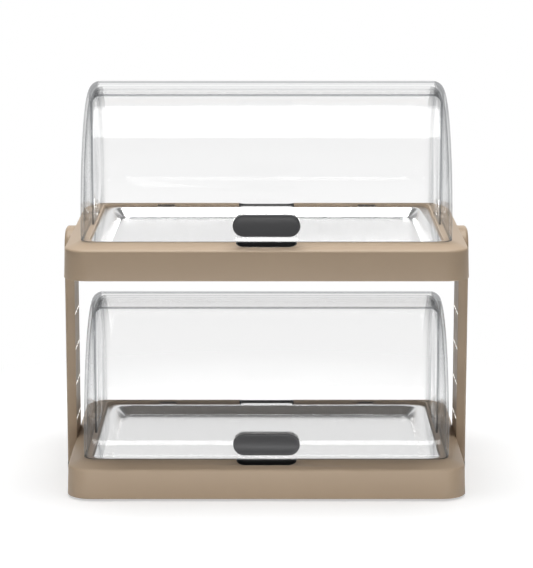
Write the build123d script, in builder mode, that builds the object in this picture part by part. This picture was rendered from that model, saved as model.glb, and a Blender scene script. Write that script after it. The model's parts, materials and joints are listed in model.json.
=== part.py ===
from build123d import *
import os

os.makedirs("parts", exist_ok=True)

# A two-tier chilled display: two shallow cold bases, each with a steel tray over ice packs and a clear
# roll-top cover, one above the other between two side posts. Millimetres, +Z up, front at -Y,
# origin on the floor under the middle.

# Overall
base_width = 440
base_depth = 320
tier_pitch = 243
foot_height = 2.5

# Base shell
edge_height = 32.5
shoulder_rise = 6
shoulder_side = 16
shoulder_front = 22
land_side = 11
land_front = 5.5
base_corner = 28
land_corner = 12
opening_corner = 14
draft = 1
wall = 2.5
edge_round = 3
lip_drop = 2.8
ledge_width = 9
ledge_thick = 2.5

# Tray
tray_gap = 0.5
tray_sheet = 1
tray_rim = 11
tray_depth = 9.5
tray_floor_corner = 9

# Cold store under the tray
plate_thick = 2.5
plate_gap = 0.3
liner_floor_height = 6
liner_wall = 2
liner_corner = 10
foam_gap = 0.3
foam_side = 7
pack_headroom = 2.2
pack_gap = 4
pack_corner = 12
pack_edge_round = 3
neck_radius = 5
neck_length = 6
cap_radius = 6.5
cap_length = 10

# Covers
pivot_setback = 14
pivot_height = 7.5
cover_sweep = 130
front_wall = 3
rear_wall = 2.5
cover_inset = 2
cover_side_gap = 1.5
cover_top_gap = 4
cover_round = 14
rear_cover_round = 10
rear_cover_overlap = 35
cover_rest_gap = 0.4
hub_radius = 6.9
tab_length = 20
tab_depth = 4
tab_gap = 0.2
side_tab_y = 60
rear_tab_x = 120

# Pivot pins
pin_radius = 3
pin_running_gap = 0.05
pin_end_gap = 0.1
pin_head_radius = 6
pin_head_thick = 2
pin_collar_radius = 5
pin_tail_radius = 5
pin_tail_thick = 1.4

# Handle and finger recesses
handle_width = 73
handle_height = 24
handle_thick = 4
handle_lift = 8
handle_round = 1
boss_reach = 8
boss_lift = 2.4
boss_width = 66
boss_gap = 0.05
recess_width = 66
recess_reach = 16.5
recess_corner = 10
recess_depth = 16.5
cup_wall = 1.5
cup_gap = 0.1
cup_set_back = 0.2

# Posts
post_thick = 11
post_depth = 58
post_front = -20
post_inset = 1.5
post_gap = 0.2
post_top_drop = 1
post_top_round = 24
post_edge_round = 3.5
slot_length = 23
slot_web = 5
slot_height = 2
slot_first = 21.5
slot_pitch = 41
cap_foot_height = 6.3
cap_foot_sole = 2
cap_foot_wall = 1.5
cap_foot_gap = 0.1

# Screws and feet
screw_inset = 17
boss_radius = 4.5
boss_rise = 0.8
screw_radius = 1.5
screw_head_radius = 3
screw_length = 11
thread_gap = 0.05
screw_gap = 0.15
post_screw_radius = 2
post_screw_head_radius = 3.5
post_screw_head_thick = 2.2
post_screw_grip = 6
post_screw_heights = (9.5, 23)
pad_thick = 4
pad_margin = 4
foot_radius = 10
foot_spigot_radius = 4
foot_spigot_height = 2
foot_inset = 40

# Sizes that follow from the ones above
opening_width = base_width - 2 * (shoulder_side + land_side)
opening_depth = base_depth - 2 * (shoulder_front + land_front)
edge_width = base_width - 2 * draft
edge_depth = base_depth - 2 * draft
land_width = base_width - 2 * shoulder_side
land_depth = base_depth - 2 * shoulder_front
ledge_span_x = opening_width - 2 * ledge_width
ledge_span_y = opening_depth - 2 * ledge_width
land_height = edge_height + shoulder_rise
ledge_height = land_height - lip_drop - tray_sheet
pack_thick = ledge_height - tray_depth - liner_floor_height - liner_wall - pack_headroom
recess_floor_height = land_height - recess_depth
pivot_y = pivot_setback
front_radius = pivot_y + base_depth / 2 - shoulder_front
front_half = base_width / 2 - shoulder_side - cover_inset
rear_half = front_half - front_wall - cover_side_gap
rear_radius = front_radius - front_wall - cover_top_gap
rear_y = opening_depth / 2 + rear_wall
rear_back_radius = rear_y - pivot_y
rear_front_y = pivot_y - rear_cover_overlap
post_rear = post_front + post_depth
post_mid = (post_front + post_rear) / 2
post_inner = base_width / 2 - post_inset
post_top = foot_height + tier_pitch + edge_height - post_top_drop
screw_points = [
    (x * (base_width / 2 - screw_inset), y * (base_depth / 2 - screw_inset))
    for x in (-1, 1) for y in (-1, 1)
]
foot_points = [
    (x * (base_width / 2 - foot_inset), y * (base_depth / 2 - foot_inset))
    for x in (-1, 1) for y in (-1, 1)
]
bottom_align = (Align.CENTER, Align.CENTER, Align.MIN)
along_x = (0, 90, 0)


def plan(width, depth, corner, height):
    """A rounded rectangle lying at a height, as the outline of a base, liner or tray."""
    with BuildSketch(Plane.XY.offset(height)) as outline:
        RectangleRounded(width, depth, corner)
    return outline.sketch


def recess_plan(end, grow, height):
    """The finger recess from above: square at the lip, round-cornered towards the outside."""
    reach = recess_reach + 2 * grow
    with BuildSketch(Plane.XY.offset(height)) as outline:
        with Locations((0, end * (opening_depth / 2 + recess_reach / 2))):
            Rectangle(recess_width + 2 * grow, reach)
        outer = outline.vertices().group_by(Axis.Y)[-1 if end > 0 else 0]
        fillet(outer, recess_corner + grow)
    return outline.sketch


def rounded_gate(plane, half, reach, corner):
    """A filled outline standing on a line, with its two far corners rounded: a cover's section."""
    with BuildSketch(plane) as outline:
        Rectangle(2 * half, reach, align=(Align.CENTER, Align.MIN))
        fillet(outline.vertices().group_by(Axis.Y)[-1], corner)
    return outline.sketch


def hood(inset, base_z, low_z, front_y):
    """The rear cover filled in: over the top about the pivot, then down to an upright back."""
    half = rear_half - inset
    top = rear_radius - inset
    back = rear_back_radius - inset
    corner = rear_cover_round - inset
    pivot_z = base_z + land_height + pivot_height
    center_z = pivot_z + rear_radius - rear_back_radius
    with BuildPart() as body:
        add(rounded_gate(Plane((0, pivot_y, pivot_z), (1, 0, 0), (0, -1, 0)), half, top, corner))
        revolve(axis=Axis((0, pivot_y, pivot_z), (1, 0, 0)), revolution_arc=90)
        add(rounded_gate(Plane((0, pivot_y, center_z), (1, 0, 0), (0, -1, 0)), half, back, corner))
        revolve(axis=Axis((0, pivot_y, center_z), (-1, 0, 0)), revolution_arc=90)
        add(rounded_gate(Plane((0, pivot_y, low_z)), half, back, corner))
        extrude(amount=center_z - low_z)
        with Locations((0, pivot_y, low_z)):
            Box(
                2 * half, pivot_y - front_y, pivot_z - low_z,
                align=(Align.CENTER, Align.MAX, Align.MIN),
            )
        with Locations((0, front_y, low_z)):
            Box(
                3 * half, 3 * top, 3 * top, align=(Align.CENTER, Align.MAX, Align.CENTER),
                mode=Mode.SUBTRACT,
            )
    return body.part


for tier, base_z in (("lower", foot_height), ("upper", foot_height + tier_pitch)):
    edge_z = base_z + edge_height
    land_z = base_z + land_height
    ledge_z = base_z + ledge_height
    ledge_under = ledge_z - ledge_thick
    pivot_z = land_z + pivot_height
    handle_z = land_z + handle_lift + handle_height / 2
    boss_face = Plane(
        origin=(0, pivot_y - front_radius - boss_reach, 0), x_dir=(1, 0, 0), z_dir=(0, -1, 0)
    )
    cover_face = Plane(origin=(0, pivot_y, pivot_z), x_dir=(1, 0, 0), z_dir=(0, -1, 0))

    # The moulded outside of the base: upright wall, sloping shoulder, flat land and the tray's ledge
    with BuildPart() as base_shell:
        add(plan(base_width, base_depth, base_corner, base_z))
        add(plan(edge_width, edge_depth, base_corner - draft, edge_z))
        loft(ruled=True)
        add(plan(edge_width, edge_depth, base_corner - draft, edge_z))
        add(plan(land_width, land_depth, land_corner, land_z))
        loft(ruled=True)
        fillet(base_shell.edges().filter_by_position(Axis.Z, edge_z - 0.1, edge_z + 0.1), edge_round)
        hollow = base_corner - draft - wall
        add(plan(base_width - 2 * wall, base_depth - 2 * wall, base_corner - wall, base_z))
        add(plan(edge_width - 2 * wall, edge_depth - 2 * wall, hollow, edge_z - wall))
        loft(ruled=True, mode=Mode.SUBTRACT)
        add(plan(edge_width - 2 * wall, edge_depth - 2 * wall, hollow, edge_z - wall))
        add(plan(land_width, land_depth, land_corner, land_z - wall))
        loft(ruled=True, mode=Mode.SUBTRACT)
        add(plan(opening_width + 2 * wall, opening_depth + 2 * wall, opening_corner + wall, ledge_under))
        extrude(amount=land_z - wall / 2 - ledge_under)
        add(plan(opening_width, opening_depth, opening_corner, ledge_z))
        extrude(amount=land_z - ledge_z + wall, mode=Mode.SUBTRACT)
        add(plan(ledge_span_x, ledge_span_y, liner_corner, ledge_under - wall))
        extrude(amount=ledge_thick + 2 * wall, mode=Mode.SUBTRACT)
        with Locations(*[(x, y, base_z + plate_thick) for x, y in screw_points]):
            Cylinder(boss_radius, edge_height + boss_rise - plate_thick, align=bottom_align)
            Cylinder(
                screw_radius + thread_gap, screw_length, align=bottom_align, mode=Mode.SUBTRACT
            )
        for side in (-1, 1):
            pad_x = post_inner - wall - pad_thick / 2 + 0.5
            with Locations((side * pad_x, post_mid, base_z + edge_height / 2)):
                Box(pad_thick + 1, post_depth - 2 * pad_margin, edge_height - 3 * wall)
            channel = Plane.YZ.offset(side * (post_inner - post_gap))
            with BuildSketch(channel):
                with Locations((post_mid, base_z + land_height / 2)):
                    Rectangle(post_depth + 2 * post_gap, 2 * land_height)
            extrude(amount=side * post_thick, mode=Mode.SUBTRACT)
            for height in post_screw_heights:
                with Locations((side * post_inner, post_mid, base_z + height)):
                    Cylinder(
                        post_screw_radius + screw_gap, 4 * pad_thick, rotation=along_x,
                        mode=Mode.SUBTRACT,
                    )
            with Locations((side * (rear_half - rear_wall / 2), side_tab_y, land_z)):
                Box(
                    rear_wall + 2 * tab_gap, tab_length + 2 * tab_gap, 2 * (tab_depth + tab_gap),
                    mode=Mode.SUBTRACT,
                )
            with Locations((side * rear_tab_x, rear_y - rear_wall / 2, land_z)):
                Box(
                    tab_length + 2 * tab_gap, rear_wall + 2 * tab_gap, 2 * (tab_depth + tab_gap),
                    mode=Mode.SUBTRACT,
                )
        for end in (-1, 1):
            add(recess_plan(end, 0, base_z + recess_floor_height - cup_gap))
            extrude(amount=land_height, mode=Mode.SUBTRACT)
    base_shell.part.label = f"{tier}_base_shell"
    export_step(base_shell.part, f"parts/{tier}_base_shell.step")

    # The well that holds the ice packs, hung by its flange under the ledge
    liner_z = base_z + liner_floor_height
    with BuildPart() as well_liner:
        add(plan(ledge_span_x, ledge_span_y, liner_corner, liner_z))
        extrude(amount=ledge_under - liner_z)
        add(plan(opening_width - tray_gap * 4, opening_depth - tray_gap * 4, opening_corner, ledge_under))
        extrude(amount=-liner_wall)
        add(plan(
            ledge_span_x - 2 * liner_wall, ledge_span_y - 2 * liner_wall, liner_corner - liner_wall,
            liner_z + liner_wall,
        ))
        extrude(amount=ledge_height, mode=Mode.SUBTRACT)
    well_liner.part.label = f"{tier}_well_liner"
    export_step(well_liner.part, f"parts/{tier}_well_liner.step")

    # The foam tray round the well
    foam_z = base_z + plate_thick + foam_gap
    foam_top = ledge_under - liner_wall - foam_gap
    with BuildPart() as insulation:
        add(plan(ledge_span_x + 2 * foam_side, ledge_span_y + 2 * foam_side, opening_corner, foam_z))
        extrude(amount=foam_top - foam_z)
        add(plan(ledge_span_x + 2 * foam_gap, ledge_span_y + 2 * foam_gap, liner_corner, liner_z - foam_gap))
        extrude(amount=ledge_height, mode=Mode.SUBTRACT)
    insulation.part.label = f"{tier}_insulation"
    export_step(insulation.part, f"parts/{tier}_insulation.step")

    # The plate that closes the base from below
    with BuildPart() as bottom_plate:
        shrink = 2 * (wall + plate_gap)
        add(plan(edge_width - shrink, edge_depth - shrink, base_corner - wall, base_z))
        extrude(amount=plate_thick)
        for side in (-1, 1):
            with Locations((side * post_inner, post_mid, base_z)):
                Box(
                    2 * (wall + pad_thick), post_depth, 4 * plate_thick, mode=Mode.SUBTRACT
                )
        with Locations(*[(x, y, base_z) for x, y in screw_points]):
            Cone(
                screw_head_radius + screw_gap, screw_radius + screw_gap, screw_head_radius - screw_radius,
                align=bottom_align, mode=Mode.SUBTRACT,
            )
            Cylinder(screw_radius + screw_gap, 4 * plate_thick, mode=Mode.SUBTRACT)
        if tier == "lower":
            with Locations(*[(x, y, base_z) for x, y in foot_points]):
                Cylinder(foot_spigot_radius + screw_gap, 4 * plate_thick, mode=Mode.SUBTRACT)
    bottom_plate.part.label = f"{tier}_bottom_plate"
    export_step(bottom_plate.part, f"parts/{tier}_bottom_plate.step")

    with BuildPart() as bottom_screws:
        with Locations(*[(x, y, base_z) for x, y in screw_points]):
            Cone(
                screw_head_radius, screw_radius, screw_head_radius - screw_radius, align=bottom_align
            )
            Cylinder(screw_radius, screw_length, align=bottom_align)
    bottom_screws.part.label = f"{tier}_bottom_screws"
    export_step(bottom_screws.part, f"parts/{tier}_bottom_screws.step")

    # Two flat ice packs side by side in the well, each filled through a neck with a screw cap
    liner_half_x = ledge_span_x / 2 - liner_wall
    liner_half_y = ledge_span_y / 2 - liner_wall
    pack_width = liner_half_x - 1.5 * pack_gap
    pack_length = 2 * (liner_half_y - pack_gap) - neck_length - cap_length
    pack_x = pack_gap / 2 + pack_width / 2
    pack_y = -(neck_length + cap_length) / 2
    pack_z = liner_z + liner_wall
    for side, word in ((-1, "left"), (1, "right")):
        with BuildPart() as ice_pack:
            with Locations((side * pack_x, pack_y, pack_z)):
                Box(pack_width, pack_length, pack_thick, align=bottom_align)
            fillet(ice_pack.edges().filter_by(Axis.Z), pack_corner)
            fillet(ice_pack.edges().group_by(Axis.Z)[-1], pack_edge_round)
            fillet(ice_pack.edges().group_by(Axis.Z)[0], pack_edge_round)
            neck_y = pack_y + pack_length / 2 + neck_length / 2 - pack_edge_round
            with Locations((side * pack_x, neck_y + cap_length / 2, pack_z + pack_thick / 2)):
                Cylinder(neck_radius, neck_length + cap_length, rotation=(90, 0, 0))
        ice_pack.part.label = f"{tier}_ice_pack_{word}"
        export_step(ice_pack.part, f"parts/{tier}_ice_pack_{word}.step")

    with BuildPart() as pack_caps:
        cap_y = pack_y + pack_length / 2 + neck_length
        neck_end = neck_y + cap_length / 2 + (neck_length + cap_length) / 2
        with Locations(*[(side * pack_x, cap_y, pack_z + pack_thick / 2) for side in (-1, 1)]):
            Cylinder(
                cap_radius, cap_length, rotation=(-90, 0, 0), align=bottom_align
            )
            Cylinder(
                neck_radius + thread_gap, neck_end + thread_gap - cap_y, rotation=(-90, 0, 0),
                align=bottom_align, mode=Mode.SUBTRACT,
            )
    pack_caps.part.label = f"{tier}_ice_pack_caps"
    export_step(pack_caps.part, f"parts/{tier}_ice_pack_caps.step")

    # The pressed steel tray: flat rim, walls at 45 degrees, flat floor
    rim_z = ledge_z + tray_sheet
    pan_x = opening_width - 2 * (tray_gap + tray_rim)
    pan_y = opening_depth - 2 * (tray_gap + tray_rim)
    slope = 2 * tray_depth
    offset_under = 2 * (2 ** 0.5 - 1) * tray_sheet
    pan_corner = tray_floor_corner + tray_depth
    with BuildPart() as tray:
        add(plan(
            opening_width - 2 * tray_gap, opening_depth - 2 * tray_gap, opening_corner - tray_gap, ledge_z
        ))
        extrude(amount=tray_sheet)
        add(plan(pan_x + offset_under, pan_y + offset_under, pan_corner, ledge_z))
        add(plan(
            pan_x + offset_under - slope, pan_y + offset_under - slope, tray_floor_corner,
            ledge_z - tray_depth,
        ))
        loft(ruled=True)
        add(plan(pan_x, pan_y, pan_corner, rim_z))
        add(plan(pan_x - slope, pan_y - slope, tray_floor_corner, rim_z - tray_depth))
        loft(ruled=True, mode=Mode.SUBTRACT)
    tray.part.label = f"{tier}_tray"
    export_step(tray.part, f"parts/{tier}_tray.step")

    # The fixed rear cover, with four tabs that drop into slots in the land
    with BuildPart() as rear_cover:
        add(hood(0, base_z, land_z, rear_front_y))
        inside = hood(rear_wall, base_z, land_z - tab_depth, rear_front_y - cover_top_gap)
        add(inside, mode=Mode.SUBTRACT)
        for side in (-1, 1):
            with Locations((side * (rear_half - rear_wall / 2), side_tab_y, land_z)):
                Box(rear_wall, tab_length, 2 * tab_depth)
            with Locations((side * rear_tab_x, rear_y - rear_wall / 2, land_z)):
                Box(tab_length, rear_wall, 2 * tab_depth)
        with Locations((0, pivot_y, pivot_z)):
            Cylinder(
                pin_radius + pin_running_gap, 2 * base_width, rotation=along_x, mode=Mode.SUBTRACT
            )
    rear_cover.part.label = f"{tier}_rear_cover"
    export_step(rear_cover.part, f"parts/{tier}_rear_cover.step")

    # The front cover that rolls up and back over the rear one
    with BuildPart() as front_cover:
        add(rounded_gate(cover_face, front_half, front_radius, cover_round))
        revolve(axis=Axis((0, pivot_y, pivot_z), (1, 0, 0)), revolution_arc=cover_sweep)
        add(rounded_gate(
            cover_face, front_half - front_wall, front_radius - front_wall, cover_round - front_wall
        ))
        revolve(
            axis=Axis((0, pivot_y, pivot_z), (1, 0, 0)), revolution_arc=cover_sweep, mode=Mode.SUBTRACT
        )
        for side in (-1, 1):
            with Locations((side * (front_half - front_wall / 2), pivot_y, pivot_z)):
                Cylinder(hub_radius, front_wall, rotation=along_x)
        with Locations((0, 0, land_z + cover_rest_gap)):
            Box(
                2 * base_width, 2 * base_depth, 2 * front_radius,
                align=(Align.CENTER, Align.CENTER, Align.MAX), mode=Mode.SUBTRACT,
            )
        with Locations((0, pivot_y, pivot_z)):
            Cylinder(
                pin_radius + pin_running_gap, 2 * base_width, rotation=along_x, mode=Mode.SUBTRACT
            )
    front_cover.part.label = f"{tier}_front_cover"
    export_step(front_cover.part, f"parts/{tier}_front_cover.step")

    # Clear pivot pins: round head outside, a collar between the covers, a tail inside
    with BuildPart() as pivot_pins:
        for side in (-1, 1):
            head_x = front_half + pin_end_gap
            tail_x = rear_half - rear_wall - pin_tail_thick
            with Locations((side * (head_x + tail_x + pin_head_thick) / 2, pivot_y, pivot_z)):
                Cylinder(pin_radius, head_x + pin_head_thick - tail_x, rotation=along_x)
            with Locations((side * (head_x + pin_head_thick / 2), pivot_y, pivot_z)):
                Cylinder(pin_head_radius, pin_head_thick, rotation=along_x)
            with Locations((side * (rear_half + cover_side_gap / 2), pivot_y, pivot_z)):
                Cylinder(pin_collar_radius, cover_side_gap - 2 * pin_end_gap, rotation=along_x)
            with Locations((side * (tail_x + pin_tail_thick / 2 - pin_end_gap), pivot_y, pivot_z)):
                Cylinder(pin_tail_radius, pin_tail_thick, rotation=along_x)
    pivot_pins.part.label = f"{tier}_pivot_pins"
    export_step(pivot_pins.part, f"parts/{tier}_pivot_pins.step")

    # The clear block on the front cover that the handle plate is fixed to
    with BuildPart() as handle_boss:
        boss_bottom = land_z + cover_rest_gap + boss_lift
        with BuildSketch(boss_face):
            with Locations((0, handle_z)):
                SlotOverall(handle_width, handle_height)
            with Locations((0, boss_bottom)):
                Rectangle(boss_width, handle_z - boss_bottom, align=(Align.CENTER, Align.MIN))
        extrude(amount=-2 * boss_reach)
        with Locations((0, pivot_y, pivot_z)):
            Cylinder(front_radius + boss_gap, base_width, rotation=along_x, mode=Mode.SUBTRACT)
    handle_boss.part.label = f"{tier}_handle_boss"
    export_step(handle_boss.part, f"parts/{tier}_handle_boss.step")

    with BuildPart() as handle_plate:
        with BuildSketch(boss_face):
            with Locations((0, handle_z)):
                SlotOverall(handle_width, handle_height)
        extrude(amount=handle_thick)
        fillet(handle_plate.faces().sort_by(Axis.Y)[0].edges(), handle_round)
    handle_plate.part.label = f"{tier}_handle_plate"
    export_step(handle_plate.part, f"parts/{tier}_handle_plate.step")

    # Black finger cups let into the shoulder, in front under the cover's edge and at the back
    for end, word in ((-1, "front"), (1, "rear")):
        floor_z = base_z + recess_floor_height
        with BuildPart() as finger_cup:
            add(recess_plan(end, -cup_gap, floor_z))
            extrude(amount=land_z - floor_z)
            add(recess_plan(end, -cup_gap - cup_wall, floor_z + cup_wall))
            extrude(amount=land_z - floor_z, mode=Mode.SUBTRACT)
            # The rear cup's inner wall stops at the ledge. The front one's rises to the land.
            lip = cup_gap + cup_wall if word == "rear" else 0
            lip_y = end * (opening_depth / 2 + lip)
            land_y = end * (base_depth / 2 - shoulder_front)
            edge_y = end * (base_depth / 2 - draft)
            with BuildSketch(Plane.YZ):
                Polygon(
                    (0, ledge_z), (lip_y, ledge_z), (lip_y, land_z - cup_set_back),
                    (land_y, land_z - cup_set_back), (edge_y, edge_z - cup_set_back),
                    (edge_y, land_z + wall), (0, land_z + wall), align=None,
                )
            extrude(amount=base_width, both=True, mode=Mode.SUBTRACT)
        finger_cup.part.label = f"{tier}_finger_cup_{word}"
        export_step(finger_cup.part, f"parts/{tier}_finger_cup_{word}.step")

    # Screws from inside the base into the posts, two a side
    with BuildPart() as post_screws:
        for side in (-1, 1):
            pad_face = post_inner - wall - pad_thick
            for height in post_screw_heights:
                middle = (pad_face + post_inner + post_screw_grip) / 2
                with Locations((side * middle, post_mid, base_z + height)):
                    Cylinder(
                        post_screw_radius, post_inner + post_screw_grip - pad_face, rotation=along_x
                    )
                with Locations((side * (pad_face - post_screw_head_thick / 2), post_mid, base_z + height)):
                    Cylinder(post_screw_head_radius, post_screw_head_thick, rotation=along_x)
    post_screws.part.label = f"{tier}_post_screws"
    export_step(post_screws.part, f"parts/{tier}_post_screws.step")


# The two posts that carry the upper base, with rows of slots and a round-shouldered top
foot_end = cap_foot_sole
slot_rows = int((tier_pitch - edge_height - slot_first) // slot_pitch) + 1
for side, word in ((-1, "left"), (1, "right")):
    with BuildPart() as post:
        with BuildSketch(Plane.YZ.offset(side * post_inner)) as outline:
            with Locations((post_mid, cap_foot_height)):
                Rectangle(post_depth, post_top - cap_foot_height, align=(Align.CENTER, Align.MIN))
            fillet(outline.vertices().group_by(Axis.Y)[-1], post_top_round)
        extrude(amount=side * post_thick)
        fillet(
            [e for e in post.faces().sort_by(Axis.X)[0 if side < 0 else -1].edges()
             if e.center().Z > cap_foot_height + 1],
            post_edge_round,
        )
        spigot = post_thick - 2 * cap_foot_wall
        with Locations((side * (post_inner + post_thick / 2), post_mid, foot_end)):
            Box(
                spigot, post_depth - 2 * cap_foot_wall, cap_foot_height - foot_end,
                align=bottom_align,
            )
        for row in range(slot_rows):
            row_z = foot_height + edge_height + slot_first + row * slot_pitch
            for place in (-1, 1):
                slot_y = post_mid + place * (slot_length + slot_web) / 2
                with Locations((side * (post_inner + post_thick / 2), slot_y, row_z)):
                    Box(2 * post_thick, slot_length, slot_height, mode=Mode.SUBTRACT)
        for base_z in (foot_height, foot_height + tier_pitch):
            for height in post_screw_heights:
                with Locations((side * post_inner, post_mid, base_z + height)):
                    Cylinder(
                        post_screw_radius + thread_gap, 2 * (post_screw_grip + thread_gap),
                        rotation=along_x, mode=Mode.SUBTRACT,
                    )
    post.part.label = f"{word}_post"
    export_step(post.part, f"parts/{word}_post.step")

with BuildPart() as post_foot_caps:
    for side in (-1, 1):
        with Locations((side * (post_inner + post_thick / 2), post_mid, 0)):
            Box(post_thick, post_depth, cap_foot_height, align=bottom_align)
        with Locations((side * (post_inner + post_thick / 2), post_mid, foot_end)):
            Box(
                post_thick - 2 * (cap_foot_wall - cap_foot_gap),
                post_depth - 2 * (cap_foot_wall - cap_foot_gap), 2 * cap_foot_height,
                align=bottom_align, mode=Mode.SUBTRACT,
            )
post_foot_caps.part.label = "post_foot_caps"
export_step(post_foot_caps.part, "parts/post_foot_caps.step")

with BuildPart() as rubber_feet:
    with Locations(*[(x, y, 0) for x, y in foot_points]):
        Cylinder(foot_radius, foot_height, align=bottom_align)
        Cylinder(foot_spigot_radius, foot_height + foot_spigot_height, align=bottom_align)
rubber_feet.part.label = "rubber_feet"
export_step(rubber_feet.part, "parts/rubber_feet.step")
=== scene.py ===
# %% [markdown]
# A chilled display on two levels. Each level is a shallow taupe base with a steel tray in it and a
# clear cover that rolls open, and two slotted posts hold the upper level over the lower one. The
# imported model gives every piece at its real size, so the first step is to load it.

import json
import math

import bpy
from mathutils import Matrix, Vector

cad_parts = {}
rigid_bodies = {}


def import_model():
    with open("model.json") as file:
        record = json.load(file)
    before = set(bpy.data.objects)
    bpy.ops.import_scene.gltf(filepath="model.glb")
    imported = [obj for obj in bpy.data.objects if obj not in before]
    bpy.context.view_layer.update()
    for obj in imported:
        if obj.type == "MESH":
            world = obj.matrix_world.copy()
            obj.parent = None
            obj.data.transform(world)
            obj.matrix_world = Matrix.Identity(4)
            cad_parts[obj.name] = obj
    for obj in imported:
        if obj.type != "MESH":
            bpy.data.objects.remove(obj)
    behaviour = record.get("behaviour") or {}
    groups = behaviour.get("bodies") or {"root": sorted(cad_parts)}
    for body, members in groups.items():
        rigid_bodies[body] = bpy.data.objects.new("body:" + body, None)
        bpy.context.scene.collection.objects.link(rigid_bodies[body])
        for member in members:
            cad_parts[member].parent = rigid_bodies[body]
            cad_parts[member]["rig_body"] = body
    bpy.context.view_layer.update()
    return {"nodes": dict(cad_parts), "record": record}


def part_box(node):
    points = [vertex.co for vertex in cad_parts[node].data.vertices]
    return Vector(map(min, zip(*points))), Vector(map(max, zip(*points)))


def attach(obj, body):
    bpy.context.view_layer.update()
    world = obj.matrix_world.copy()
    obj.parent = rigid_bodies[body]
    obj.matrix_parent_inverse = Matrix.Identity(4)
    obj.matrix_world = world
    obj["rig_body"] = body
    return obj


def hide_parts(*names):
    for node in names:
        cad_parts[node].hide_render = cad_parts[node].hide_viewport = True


MM = 0.001
TIERS = ("lower", "upper")

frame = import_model()
nodes = frame["nodes"]

# %% [markdown]
# The display is seen from the front, a little from above, through a long lens, so that its sides
# stay almost parallel. The lens is given in millimetres on a 36 mm sensor, and the camera is turned
# down towards the middle of the display.

# %% Camera
CAMERA_PLACE = (0.0, -2.572, 0.711)
CAMERA_PITCH = math.radians(10.99)
SENSOR = 36
LENS = 144.8

scene = bpy.context.scene
bpy.ops.object.select_all(action="DESELECT")
bpy.ops.object.camera_add(
    location=CAMERA_PLACE, rotation=(math.radians(90) - CAMERA_PITCH, 0, 0)
)
camera = bpy.context.active_object
camera.name = "camera"
camera.data.sensor_width = SENSOR
camera.data.lens = LENS
camera.data.dof.use_dof = False
scene.camera = camera
print("camera at", CAMERA_PLACE, "with a lens of", LENS, "mm")

# %% [markdown]
# The floor is a large plane under the feet. It gets its finish together with the light, further
# down.

# %% Floor
FLOOR_SIZE = 8

bpy.ops.mesh.primitive_plane_add(size=FLOOR_SIZE, location=(0, 0, 0))
floor = bpy.context.active_object
floor.name = "floor"
print("floor", FLOOR_SIZE, "m wide")


# %% [markdown]
# Every finish below is a small network of nodes, most of them on a Principled shader. The first
# helper adds a node, sets its inputs by name and returns it, which keeps the recipes short. The
# others stand for groups of nodes that come back often.

# %% Helpers for materials
WHITE = (1, 1, 1, 1)


def new_material(name):
    material = bpy.data.materials.new(name)
    material.use_nodes = True
    tree = material.node_tree
    tree.nodes.clear()
    return material, tree


def node(tree, kind, inputs=None, **settings):
    made = tree.nodes.new(kind)
    for key, value in settings.items():
        setattr(made, key, value)
    for key, value in (inputs or {}).items():
        if isinstance(value, bpy.types.NodeSocket):
            tree.links.new(value, made.inputs[key])
        else:
            made.inputs[key].default_value = value
    return made


def output(tree, shader):
    node(tree, "ShaderNodeOutputMaterial", {"Surface": shader})


def maths(tree, operation, first, second=0.5):
    sum_up = node(tree, "ShaderNodeMath", {0: first, 1: second}, operation=operation)
    return sum_up.outputs["Value"]


def mixed(tree, amount, first, second):
    """The first shader where the amount is 0 and the second where it is 1."""
    mix = node(tree, "ShaderNodeMixShader", {0: amount, 1: first, 2: second})
    return mix.outputs["Shader"]


def ray_is(tree, *kinds):
    """1 for a ray of one of these kinds, such as Camera or Shadow, and 0 for any other."""
    ray = node(tree, "ShaderNodeLightPath")
    found = ray.outputs[f"Is {kinds[0]} Ray"]
    for kind in kinds[1:]:
        found = maths(tree, "MAXIMUM", found, ray.outputs[f"Is {kind} Ray"])
    return found


def bumps(tree, size, strength, distance, detail=3):
    """Noise of a real size in metres, as a bump on the surface."""
    place = node(tree, "ShaderNodeTexCoord").outputs["Object"]
    noise = node(
        tree, "ShaderNodeTexNoise", {"Vector": place, "Scale": 1 / size, "Detail": detail}
    )
    bump = node(
        tree, "ShaderNodeBump",
        {"Height": noise.outputs["Fac"], "Strength": strength, "Distance": distance},
    )
    return bump.outputs["Normal"]


def varied(tree, low, high, size, detail=2):
    """A colour that drifts softly between two close shades over a real size in metres."""
    place = node(tree, "ShaderNodeTexCoord").outputs["Object"]
    noise = node(
        tree, "ShaderNodeTexNoise", {"Vector": place, "Scale": 1 / size, "Detail": detail}
    )
    mix = node(
        tree, "ShaderNodeMix",
        {"Factor": noise.outputs["Fac"], "A": (*low, 1), "B": (*high, 1)}, data_type="RGBA",
    )
    return mix.outputs["Result"]


# %% [markdown]
# Moulded plastic shows a fine grain pressed in by the mould, a soft sheen and hardly any colour
# change. One recipe serves every plain plastic and rubber piece, with its own colour, roughness
# and grain.

# %% Plain plastics
COLOUR_DRIFT = 80 * MM
GRAIN_STRENGTH = 0.5


def plastic(name, low, high, roughness, grain=0.6 * MM, depth=0.04 * MM):
    material, tree = new_material(name)
    shader = node(
        tree, "ShaderNodeBsdfPrincipled",
        {
            "Base Color": varied(tree, low, high, COLOUR_DRIFT),
            "Roughness": roughness,
            "Normal": bumps(tree, grain, GRAIN_STRENGTH, depth),
        },
    )
    output(tree, shader.outputs["BSDF"])
    return material


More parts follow.
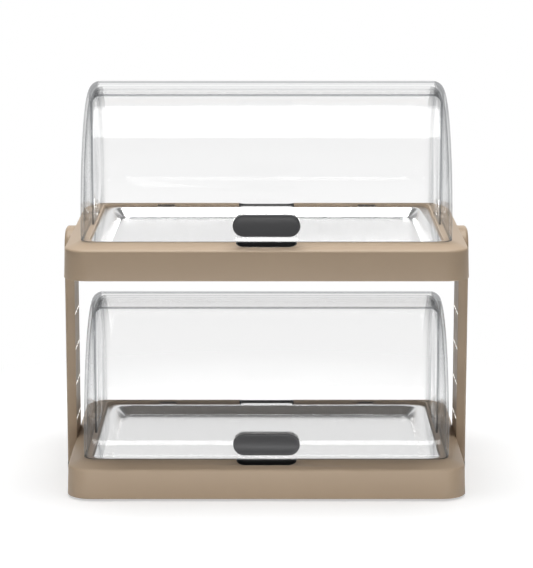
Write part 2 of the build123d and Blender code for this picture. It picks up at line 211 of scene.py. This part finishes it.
taupe = plastic("taupe plastic", (0.475, 0.356, 0.245), (0.505, 0.38, 0.262), 0.46)
cap_grey = plastic("foot cap plastic", (0.36, 0.33, 0.29), (0.4, 0.365, 0.32), 0.5)
charcoal = plastic("charcoal plastic", (0.036, 0.036, 0.038), (0.046, 0.046, 0.05), 0.36)
black = plastic("black plastic", (0.008, 0.008, 0.008), (0.012, 0.012, 0.012), 0.5)
dark_liner = plastic("dark liner", (0.12, 0.1, 0.085), (0.14, 0.12, 0.1), 0.55)
pack_blue = plastic(
    "ice pack", (0.14, 0.3, 0.55), (0.17, 0.35, 0.6), 0.3, grain=4 * MM, depth=0.2 * MM
)
pack_cap = plastic("ice pack cap", (0.75, 0.78, 0.82), (0.8, 0.83, 0.86), 0.35)
foam = plastic(
    "foam", (0.8, 0.8, 0.78), (0.86, 0.86, 0.84), 0.9, grain=3 * MM, depth=0.4 * MM
)
rubber = plastic("rubber", (0.03, 0.03, 0.03), (0.04, 0.04, 0.04), 0.75)
print(len(bpy.data.materials), "plain plastics")


# %% [markdown]
# Sheet steel has been rolled in one direction, so its grain is much longer along X than across.
# The noise is stretched that way and drives both the roughness and a very shallow bump.

# %% Steels
STEEL_GRAIN = (12, 900, 900)
STEEL_BUMP_STRENGTH = 0.1
STEEL_BUMP_DEPTH = 0.03 * MM


def steel(name, colour, roughness_low, roughness_high):
    material, tree = new_material(name)
    place = node(tree, "ShaderNodeTexCoord").outputs["Object"]
    stretched = node(tree, "ShaderNodeMapping", {"Vector": place, "Scale": STEEL_GRAIN})
    grain = node(
        tree, "ShaderNodeTexNoise",
        {"Vector": stretched.outputs["Vector"], "Scale": 1, "Detail": 3},
    )
    rough = node(
        tree, "ShaderNodeMapRange",
        {"Value": grain.outputs["Fac"], "To Min": roughness_low, "To Max": roughness_high},
    )
    bump = node(
        tree, "ShaderNodeBump",
        {"Height": grain.outputs["Fac"], "Strength": STEEL_BUMP_STRENGTH,
         "Distance": STEEL_BUMP_DEPTH},
    )
    shader = node(
        tree, "ShaderNodeBsdfPrincipled",
        {"Base Color": (*colour, 1), "Metallic": 1.0, "Roughness": rough.outputs["Result"],
         "Normal": bump.outputs["Normal"]},
    )
    output(tree, shader.outputs["BSDF"])
    return material


stainless = steel("stainless", (0.78, 0.78, 0.78), 0.16, 0.26)
screw_steel = steel("screw steel", (0.6, 0.6, 0.62), 0.3, 0.4)
print("steels", stainless.name, "and", screw_steel.name)


# %% [markdown]
# The covers are clear polycarbonate, two to three millimetres thick. Seen straight on, such a
# sheet is nearly invisible. Seen along its surface it turns grey and mirrors the room, its rounded
# corners gather dark lines, and its cut edges are grey. Each of these is a layer of
# straight-through colour under a reflection, because a wall this thin hardly moves what is behind
# it. The dark lines in the rounded corners are painted shade: on a real cover the curve bends
# darker parts of the room into view, and here a dark straight-through colour stands in for them.
# The thick block behind each handle bends light, so it gets a refracting shader.

# %% Clear plastic
MIRROR_STRAIGHT_ON = 0.015
MIRROR_ALONG = 0.5
MIRROR_SHARPNESS = 5.0
MIRROR_ROUGHNESS = 0.03


def clear_sheet(name, tint, edge_tint, sharpness):
    material, tree = new_material(name)
    edge = node(tree, "ShaderNodeLayerWeight", {"Blend": 0.5}).outputs["Facing"]
    colour = node(
        tree, "ShaderNodeMix",
        {"Factor": maths(tree, "POWER", edge, sharpness), "A": (*tint, 1), "B": (*edge_tint, 1)},
        data_type="RGBA",
    )
    through = node(tree, "ShaderNodeBsdfTransparent", {"Color": colour.outputs["Result"]})
    shine = node(tree, "ShaderNodeBsdfGlossy", {"Color": WHITE, "Roughness": MIRROR_ROUGHNESS})
    amount = node(
        tree, "ShaderNodeMapRange",
        {"Value": maths(tree, "POWER", edge, MIRROR_SHARPNESS), "To Min": MIRROR_STRAIGHT_ON,
         "To Max": MIRROR_ALONG},
    )
    output(
        tree,
        mixed(tree, amount.outputs["Result"], through.outputs["BSDF"], shine.outputs["BSDF"]),
    )
    return material


def clear_block(name):
    material, tree = new_material(name)
    bent = node(
        tree, "ShaderNodeBsdfPrincipled",
        {"Base Color": (0.98, 0.98, 0.98, 1), "Roughness": 0.05, "IOR": 1.45,
         "Transmission Weight": 1.0},
    )
    through = node(tree, "ShaderNodeBsdfTransparent", {"Color": (0.96, 0.96, 0.96, 1)})
    lets_light_by = ray_is(tree, "Shadow", "Diffuse")
    output(tree, mixed(tree, lets_light_by, bent.outputs["BSDF"], through.outputs["BSDF"]))
    return material


clear = clear_sheet("clear plastic", (0.985, 0.985, 0.985), (0.7, 0.71, 0.72), 12.0)
# The corner finish turns dark when seen along the surface: painted shade for the dark corner lines.
clear_corner_painted_shade = clear_sheet("clear plastic corner with painted shade", (0.98, 0.98, 0.98), (0.16, 0.17, 0.18), 2.5)
clear_cut = clear_sheet("clear plastic cut edge", (0.5, 0.51, 0.52), (0.3, 0.31, 0.32), 2.0)
clear_thick = clear_block("clear plastic block")
print("clear finishes", clear.name, clear_corner_painted_shade.name, clear_cut.name, clear_thick.name, sep=", ")

# %% [markdown]
# A line of sight can pass eight clear surfaces or more, and Cycles turns a ray black when it runs
# out of layers. So it is allowed many in a row.

# %% Depth of clear layers
CLEAR_LAYERS = 32

scene.cycles.transparent_max_bounces = CLEAR_LAYERS
print("up to", CLEAR_LAYERS, "clear layers")

# %% [markdown]
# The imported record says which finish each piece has. The finishes above are looked up by those
# words and put on every piece of the frame.

# %% Finishes on the frame
FINISHES = {
    "taupe_plastic": taupe, "clear_plastic": clear, "stainless": stainless,
    "charcoal_plastic": charcoal, "black_plastic": black, "dark_liner": dark_liner,
    "ice_pack": pack_blue, "ice_pack_cap": pack_cap, "foam": foam, "rubber": rubber,
    "screw_steel": screw_steel,
}

slots = {part["node"]: part["material_slot"] for part in frame["record"]["subparts"]}
for name, cad in nodes.items():
    cad.data.materials.clear()
    cad.data.materials.append(cap_grey if name == "post_foot_caps" else FINISHES[slots[name]])
print(len(nodes), "frame pieces have a finish")


# %% [markdown]
# A moulded or pressed piece has no knife edges. The frame's pieces are copied, their loose
# triangles are merged and the flat ones joined, and a small bevel rounds each edge, so that it
# catches a line of light as on the real object.

# %% Rounded copies of the frame's pieces
MERGE_DISTANCE = 0.002 * MM
FLAT_ANGLE = math.radians(0.5)
SMOOTH_ANGLE = math.radians(35)


def rounded_copy(cad_name, width, segments=2, angle=30, sort_faces=None):
    cad = nodes[cad_name]
    piece = bpy.data.objects.new(cad_name + "_finished", cad.data.copy())
    scene.collection.objects.link(piece)
    bpy.ops.object.select_all(action="DESELECT")
    piece.select_set(True)
    bpy.context.view_layer.objects.active = piece
    if piece.data.has_custom_normals:
        bpy.ops.mesh.customdata_custom_splitnormals_clear()
    bpy.ops.object.mode_set(mode="EDIT")
    bpy.ops.mesh.select_all(action="SELECT")
    bpy.ops.mesh.remove_doubles(threshold=MERGE_DISTANCE)
    bpy.ops.mesh.dissolve_limited(angle_limit=FLAT_ANGLE)
    bpy.ops.object.mode_set(mode="OBJECT")
    if sort_faces:
        sort_faces(piece)
    bevel = piece.modifiers.new("edge", "BEVEL")
    bevel.width = width
    bevel.segments = segments
    bevel.limit_method = "ANGLE"
    bevel.angle_limit = math.radians(angle)
    bevel.use_clamp_overlap = True
    bpy.ops.object.modifier_apply(modifier="edge")
    bpy.ops.object.shade_smooth_by_angle(angle=SMOOTH_ANGLE)
    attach(piece, cad["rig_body"])
    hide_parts(cad_name)
    print(piece.name, len(piece.data.polygons), "faces")
    return piece


for tier in TIERS:
    rounded_copy(tier + "_base_shell", 0.5 * MM)
    rounded_copy(tier + "_tray", 0.9 * MM, segments=3)
    rounded_copy(tier + "_pivot_pins", 0.5 * MM, segments=3)

# %% [markdown]
# Each post has rows of narrow slots right through it, and they shine with the light that comes
# through them. The posts here are solid and too thick to let much by, so the walls inside the
# slots get a pale finish that gives off some light of its own instead. Those walls are found by
# their place, inside the outline of the post and below its round top.

# %% Posts
EDGE_STRIP = 2 * MM
ROUND_TOP = 30 * MM
SLOT_LIGHT = 0.7

slot_glow, tree = new_material("light in the slots")
shader = node(
    tree, "ShaderNodeBsdfPrincipled",
    {"Base Color": (0.8, 0.77, 0.73, 1), "Roughness": 0.5,
     "Emission Color": (1.0, 0.98, 0.95, 1), "Emission Strength": SLOT_LIGHT},
)
output(tree, shader.outputs["BSDF"])


def slot_sorter(low, high):
    def sort(piece):
        piece.data.materials.append(slot_glow)
        for face in piece.data.polygons:
            n, c = face.normal, face.center
            inside = low[1] + EDGE_STRIP < c.y < high[1] - EDGE_STRIP
            below_top = low[2] + ROUND_TOP < c.z < high[2] - ROUND_TOP
            if abs(n.x) < 0.01 and inside and below_top:
                face.material_index = 1
    return sort


for post_name in ("left_post", "right_post"):
    sort = slot_sorter(*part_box(post_name))
    post = rounded_copy(post_name, 0.5 * MM, sort_faces=sort)
    print(post.name, sum(face.material_index for face in post.data.polygons), "faces in slots")

# %% [markdown]
# A clear cover shows three kinds of face: its open walls, its rounded corners and its cut edges.
# They are told apart by their normals. A cover turns about the line through its pivot pins, so a
# cut edge faces along the circle round that line, and a rounded corner faces partly sideways and
# partly outwards. The underside and the upright front edges of the rear part are cut edges too.

# %% Clear covers
OPEN_WALL, CORNER, CUT_EDGE = 0, 1, 2
ALONG_CIRCLE = 0.75
FACING_DOWN = 0.95
FACING_FRONT = 0.98
UNDERSIDE_HEIGHT = 3 * MM
FRONT_EDGES_FROM, FRONT_EDGES_TO = -30 * MM, 100 * MM
PARTLY_SIDEWAYS = (0.12, 0.97)


def face_sorter(pivot_y, pivot_z, low_z):
    def sort(piece):
        piece.data.materials.clear()
        for finish in (clear, clear_corner_painted_shade, clear_cut):
            piece.data.materials.append(finish)
        for face in piece.data.polygons:
            n, c = face.normal, face.center
            out = Vector((0, c.y - pivot_y, c.z - pivot_z)).normalized()
            end = abs(n.z * out.y - n.y * out.z) > ALONG_CIRCLE
            underside = n.z < -FACING_DOWN and c.z < low_z + UNDERSIDE_HEIGHT
            front_edge = n.y < -FACING_FRONT and FRONT_EDGES_FROM < c.y < FRONT_EDGES_TO
            if end or underside or front_edge:
                face.material_index = CUT_EDGE
            elif PARTLY_SIDEWAYS[0] < abs(n.x) < PARTLY_SIDEWAYS[1]:
                # The rounded corners take the finish with painted shade.
                face.material_index = CORNER
            else:
                face.material_index = OPEN_WALL
    return sort


for tier in TIERS:
    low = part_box(tier + "_front_cover")[0]
    pins_low, pins_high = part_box(tier + "_pivot_pins")
    sort = face_sorter((pins_low[1] + pins_high[1]) / 2, (pins_low[2] + pins_high[2]) / 2, low[2])
    for word, width in (("front", 0.5 * MM), ("rear", 0.4 * MM)):
        cover = rounded_copy(f"{tier}_{word}_cover", width, sort_faces=sort)
        kinds = [face.material_index for face in cover.data.polygons]
        print(
            cover.name, kinds.count(OPEN_WALL), "wall,", kinds.count(CORNER), "corner and",
            kinds.count(CUT_EDGE), "edge faces",
        )
    block = rounded_copy(tier + "_handle_boss", 0.6 * MM)
    block.data.materials.clear()
    block.data.materials.append(clear_thick)

# %% [markdown]
# The dark plate on each cover is a moulded pill with a narrow rim round a field that lies a little
# deeper. It starts as a rounded copy of the plate in the frame. Its large front face is selected by
# its direction and its area, inset once for the rim, and inset again while it is pushed back. The
# field stays bare.

# %% Handle plates
RIM_WIDTH = 1.6 * MM
RIM_SLOPE = 0.5 * MM
FIELD_DEPTH = 0.35 * MM
STRAIGHT_FRONT = 0.999
LARGE_AREA = 500 * MM * MM


def select_faces(piece, wanted):
    bpy.ops.mesh.select_all(action="DESELECT")
    bpy.ops.object.mode_set(mode="OBJECT")
    for face in piece.data.polygons:
        face.select = wanted(face)
    bpy.ops.object.mode_set(mode="EDIT")


for tier in TIERS:
    plate = rounded_copy(tier + "_handle_plate", 0.3 * MM, angle=40)
    bpy.ops.object.mode_set(mode="EDIT")
    bpy.ops.mesh.select_mode(type="FACE")
    select_faces(
        plate, lambda face: face.normal.y < -STRAIGHT_FRONT and face.area > LARGE_AREA
    )
    bpy.ops.mesh.inset(thickness=RIM_WIDTH)
    bpy.ops.mesh.inset(thickness=RIM_SLOPE, depth=-FIELD_DEPTH)
    bpy.ops.object.mode_set(mode="OBJECT")
    bpy.ops.object.shade_smooth_by_angle(angle=SMOOTH_ANGLE)
    print(plate.name, "has a field", FIELD_DEPTH / MM, "mm deep")


# %% [markdown]
# White light comes from a large soft box over the display, from weaker ones to each side and from
# a low strip in front, just out of the picture, that lifts the front of the lower base.

# %% Lamps
LAMPS = (
    # name, place, aimed at, width, depth, watts
    ("top_box", (0.0, 0.1, 2.2), (0, 0, 0), 1.6, 1.2, 50),
    ("left_box", (-2.0, -1.2, 1.2), (0, 0, 0.2), 1.0, 1.6, 3.2),
    ("right_box", (2.0, -1.2, 1.2), (0, 0, 0.2), 1.0, 1.6, 2.2),
    ("low_strip", (0.0, -0.5, 0.02), (0, -0.16, 0.02), 0.9, 0.03, 0.7),
)

for name, place, target, width, depth, power in LAMPS:
    bpy.ops.object.light_add(type="AREA", location=place)
    lamp = bpy.context.active_object
    lamp.name = name
    lamp.data.shape = "RECTANGLE"
    lamp.data.size = width
    lamp.data.size_y = depth
    lamp.data.energy = power
    direction = Vector(target) - Vector(place)
    lamp.rotation_euler = direction.to_track_quat("-Z", "Y").to_euler()
    print(name, power, "W")

# %% [markdown]
# The world is the white studio. The camera sees it plain white. The steel and the clear plastic
# see it white at the height of the backdrop and grey overhead and to the flanks, which gives them
# something to mirror. As a light on matt surfaces it is weak.

# %% World
GREY_OVERHEAD = 0.2
GREY_FLANKS = 0.1
AMBIENT = 0.15
OVERHEAD_FROM, OVERHEAD_TO = 0.42, 0.7
FLANK_FROM, FLANK_TO = 0.5, 0.8


def background(tree, strength):
    made = node(tree, "ShaderNodeBackground", {"Color": WHITE, "Strength": strength})
    return made.outputs["Background"]


def falloff(tree, value, start, end, last):
    """1 up to the start, then a soft change to the last value at the end."""
    made = node(
        tree, "ShaderNodeMapRange",
        {"Value": value, "From Min": start, "From Max": end, "To Min": 1.0, "To Max": last},
        interpolation_type="SMOOTHSTEP",
    )
    return made.outputs["Result"]


world = bpy.data.worlds.new("studio")
scene.world = world
world.use_nodes = True
tree = world.node_tree
tree.nodes.clear()
direction = node(tree, "ShaderNodeTexCoord").outputs["Generated"]
parts = node(tree, "ShaderNodeSeparateXYZ", {"Vector": direction})
sideways = maths(tree, "ABSOLUTE", parts.outputs["X"])
level = maths(
    tree, "MULTIPLY",
    falloff(tree, parts.outputs["Z"], OVERHEAD_FROM, OVERHEAD_TO, GREY_OVERHEAD),
    falloff(tree, sideways, FLANK_FROM, FLANK_TO, GREY_FLANKS),
)
mirrored = mixed(
    tree, ray_is(tree, "Glossy", "Transmission"),
    background(tree, AMBIENT), background(tree, level),
)
final = mixed(tree, ray_is(tree, "Camera"), mirrored, background(tree, 1.0))
node(tree, "ShaderNodeOutputWorld", {"Surface": final})
print("world", world.name, "with ambient light", AMBIENT)

# %% [markdown]
# The floor is pale grey to the lamps, so that it throws little light back at the display. To the
# camera it adds a constant light of its own, which brings the open floor nearly to white and leaves
# the soft shadow round the base. Further off it fades into a plain white backdrop.

# %% Floor finish
FLOOR_LOW, FLOOR_HIGH = (0.6, 0.6, 0.6), (0.62, 0.62, 0.62)
FLOOR_DRIFT = 0.5
FLOOR_LIFT = 0.5
BACKDROP_FROM, BACKDROP_TO = 0.3, 0.6


def emission(tree, strength):
    made = node(tree, "ShaderNodeEmission", {"Color": WHITE, "Strength": strength})
    return made.outputs["Emission"]


floor_material, tree = new_material("studio floor")
place = node(tree, "ShaderNodeTexCoord").outputs["Object"]
away = node(tree, "ShaderNodeVectorMath", {0: place}, operation="LENGTH").outputs["Value"]
far = node(
    tree, "ShaderNodeMapRange",
    {"Value": away, "From Min": BACKDROP_FROM, "From Max": BACKDROP_TO},
    interpolation_type="SMOOTHSTEP",
)
matt = node(
    tree, "ShaderNodeBsdfPrincipled",
    {"Base Color": varied(tree, FLOOR_LOW, FLOOR_HIGH, FLOOR_DRIFT), "Roughness": 0.9},
)
near = node(tree, "ShaderNodeAddShader", {0: matt.outputs["BSDF"], 1: emission(tree, FLOOR_LIFT)})
shown = mixed(tree, far.outputs["Result"], near.outputs["Shader"], emission(tree, 1.0))
seen = ray_is(tree, "Camera", "Glossy", "Transmission")
output(tree, mixed(tree, seen, matt.outputs["BSDF"], shown))
floor.data.materials.append(floor_material)

scene.view_settings.view_transform = "Standard"
print("view transform", scene.view_settings.view_transform)
